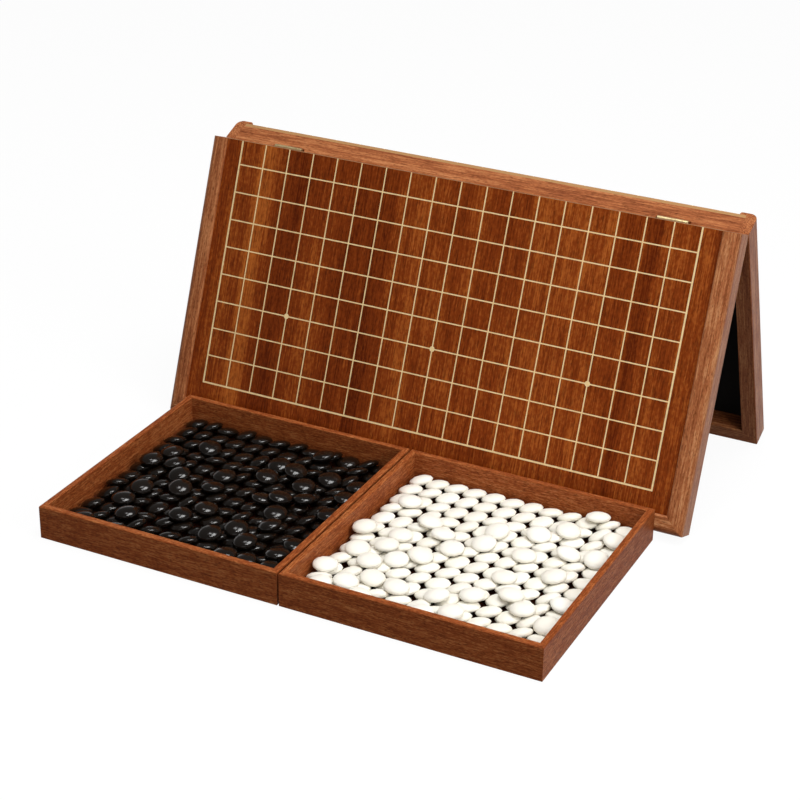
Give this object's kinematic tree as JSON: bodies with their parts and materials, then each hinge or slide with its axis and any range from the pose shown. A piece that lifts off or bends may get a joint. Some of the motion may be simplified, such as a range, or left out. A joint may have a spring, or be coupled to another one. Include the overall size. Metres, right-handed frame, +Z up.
{
  "type": "folding go board",
  "caption": "Folding wooden go board stood open as a tent on its hinged hollow halves, with two shallow wooden trays of loose black and white stones in front.",
  "frame": {"origin": "centre of the bounding box on the table surface", "axes": "+X along the hinge line to the viewer's right, +Y from the trays towards the rear half, +Z up"},
  "size_m": [0.454, 0.4206, 0.2244],
  "materials": {
    "rail_wood": "satin",
    "panel_wood": "satin",
    "inlay": "satin",
    "lining_felt": "matt",
    "hinge_brass": "polished",
    "tray_wood": "satin",
    "tray_floor": "satin",
    "black_glass": "gloss",
    "white_glass": "satin"
  },
  "bodies": {
    "front_half": {"front_left_rail": "rail_wood", "front_right_rail": "rail_wood", "front_far_rail": "rail_wood", "front_hinge_wall": "rail_wood", "front_panel": "panel_wood", "front_grid_lines": "inlay", "front_star_points": "inlay", "front_lining": "lining_felt", "front_hinge_screws": "hinge_brass", "left_hinge_front_leaf": "hinge_brass", "right_hinge_front_leaf": "hinge_brass", "left_hinge_pin": "hinge_brass", "right_hinge_pin": "hinge_brass"},
    "rear_half": {"rear_left_rail": "rail_wood", "rear_right_rail": "rail_wood", "rear_far_rail": "rail_wood", "rear_hinge_wall": "rail_wood", "rear_panel": "panel_wood", "rear_grid_lines": "inlay", "rear_star_points": "inlay", "rear_lining": "lining_felt", "rear_hinge_screws": "hinge_brass", "left_hinge_rear_leaf": "hinge_brass", "right_hinge_rear_leaf": "hinge_brass"},
    "black_tray": {"black_tray_front_wall": "tray_wood", "black_tray_back_wall": "tray_wood", "black_tray_left_wall": "tray_wood", "black_tray_right_wall": "tray_wood", "black_tray_floor": "tray_floor"},
    "white_tray": {"white_tray_front_wall": "tray_wood", "white_tray_back_wall": "tray_wood", "white_tray_left_wall": "tray_wood", "white_tray_right_wall": "tray_wood", "white_tray_floor": "tray_floor"},
    "black_stones": {"black_stones": "black_glass"},
    "white_stones": {"white_stones": "white_glass"}
  },
  "joints": [
    {"name": "fold", "type": "hinge", "parent": "front_half", "child": "rear_half", "pos_m": [0, 0.10685, 0.21617], "axis": [1, 0, 0], "range_deg": [-42.2, 137.8]},
    {"name": "black_tray_lift", "type": "slide", "parent": "front_half", "child": "black_tray", "axis": [0, 0, 1], "range_m": [0, 0.08]},
    {"name": "white_tray_lift", "type": "slide", "parent": "front_half", "child": "white_tray", "axis": [0, 0, 1], "range_m": [0, 0.08]},
    {"name": "black_stones_lift", "type": "slide", "parent": "black_tray", "child": "black_stones", "axis": [0, 0, 1], "range_m": [0, 0.05]},
    {"name": "white_stones_lift", "type": "slide", "parent": "white_tray", "child": "white_stones", "axis": [0, 0, 1], "range_m": [0, 0.05]}
  ]
}
